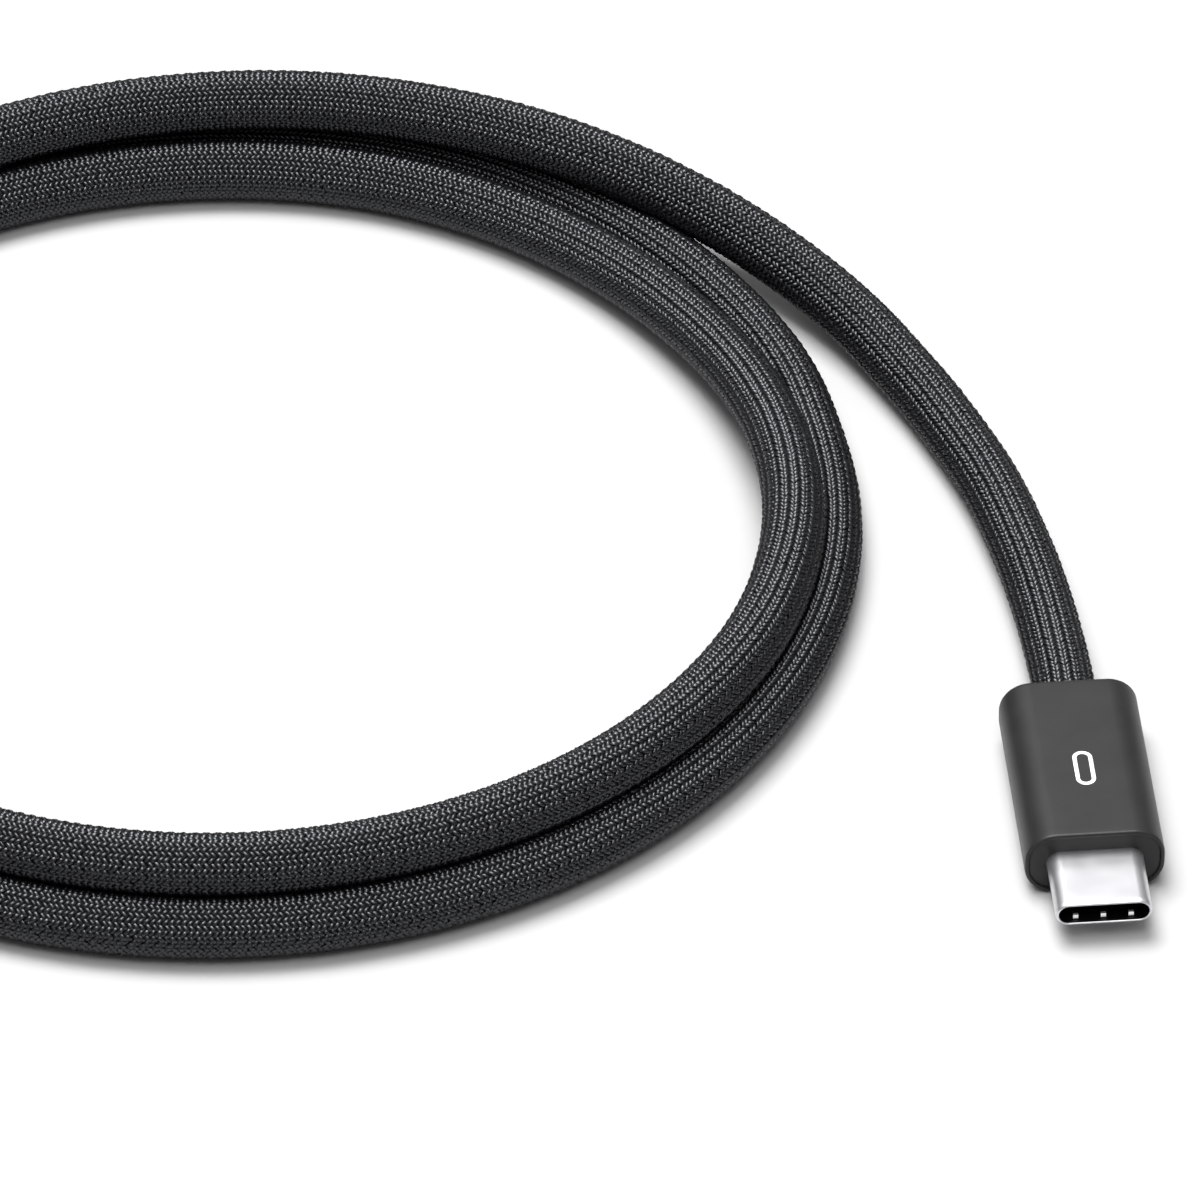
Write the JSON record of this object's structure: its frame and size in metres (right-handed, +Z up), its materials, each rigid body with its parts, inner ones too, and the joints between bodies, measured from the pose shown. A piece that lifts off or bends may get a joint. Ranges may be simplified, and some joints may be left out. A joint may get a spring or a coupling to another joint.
{
  "type": "charging cable",
  "caption": "Braided USB-C cable in a loose round coil, with a satin boot and a polished metal plug at each end.",
  "frame": {"origin": "on the surface that the cable lies on, under the middle of the near plug (boot and metal shell together)", "axes": "+Z up; the near plug's tip points to -Y and its cord leaves to +Y; +X is to the right, seen from above with the tip towards the viewer"},
  "size_m": [0.1419, 0.1592, 0.0107],
  "materials": {
    "braid": "matte herringbone braid with a dull sheen",
    "boot": "fine satin texture",
    "nose_plate": "satin",
    "mark": "printed white",
    "shell": "polished, with a fine drawn grain",
    "contact_housing": "moulded",
    "contacts": "gold plated",
    "spring_steel": "stamped",
    "circuit_board": "solder resist",
    "chip": "moulded",
    "capacitor": "ceramic",
    "shield_can": "stamped",
    "ferrule": "satin",
    "signal_wire": "extruded",
    "power_wire": "extruded",
    "potting": "cured resin"
  },
  "bodies": {
    "cable": {"cord_lead": "braid", "cord_coil": "braid", "cord_tail": "braid", "boot_a": "boot", "nose_plate_a": "nose_plate", "mark_a": "mark", "shell_a": "shell", "contact_housing_a": "contact_housing", "upper_contacts_a": "contacts", "lower_contacts_a": "contacts", "emi_spring_upper_a": "spring_steel", "emi_spring_lower_a": "spring_steel", "latch_frame_a": "spring_steel", "circuit_board_a": "circuit_board", "controller_chip_a": "chip", "capacitors_a": "capacitor", "shield_can_upper_a": "shield_can", "shield_can_lower_a": "shield_can", "crimp_ferrule_a": "ferrule", "signal_wires_a": "signal_wire", "power_wires_a": "power_wire", "wire_potting_a": "potting", "boot_b": "boot", "nose_plate_b": "nose_plate", "mark_b": "mark", "shell_b": "shell", "contact_housing_b": "contact_housing", "upper_contacts_b": "contacts", "lower_contacts_b": "contacts", "emi_spring_upper_b": "spring_steel", "emi_spring_lower_b": "spring_steel", "latch_frame_b": "spring_steel", "circuit_board_b": "circuit_board", "controller_chip_b": "chip", "capacitors_b": "capacitor", "shield_can_upper_b": "shield_can", "shield_can_lower_b": "shield_can", "crimp_ferrule_b": "ferrule", "signal_wires_b": "signal_wire", "power_wires_b": "power_wire", "wire_potting_b": "potting"},
    "latch_arm_right_a": {"latch_arm_right_a": "spring_steel"},
    "latch_arm_left_a": {"latch_arm_left_a": "spring_steel"},
    "latch_arm_right_b": {"latch_arm_right_b": "spring_steel"},
    "latch_arm_left_b": {"latch_arm_left_b": "spring_steel"}
  },
  "joints": [
    {"name": "latch_right_a_flex", "type": "hinge", "parent": "cable", "child": "latch_arm_right_a", "pos_m": [0.0034, -0.00532, 0.00315], "axis": [0, 0, 1], "range_deg": [0, 2.4], "stiffness_Nm_per_rad": 0.4},
    {"name": "latch_left_a_flex", "type": "hinge", "parent": "cable", "child": "latch_arm_left_a", "pos_m": [-0.0034, -0.00532, 0.00315], "axis": [0, 0, -1], "range_deg": [0, 2.4], "stiffness_Nm_per_rad": 0.4},
    {"name": "latch_right_b_flex", "type": "hinge", "parent": "cable", "child": "latch_arm_right_b", "pos_m": [-0.1266, -0.04682, 0.00315], "axis": [0, 0, 1], "range_deg": [0, 2.4], "stiffness_Nm_per_rad": 0.4},
    {"name": "latch_left_b_flex", "type": "hinge", "parent": "cable", "child": "latch_arm_left_b", "pos_m": [-0.1334, -0.04682, 0.00315], "axis": [0, 0, -1], "range_deg": [0, 2.4], "stiffness_Nm_per_rad": 0.4}
  ]
}
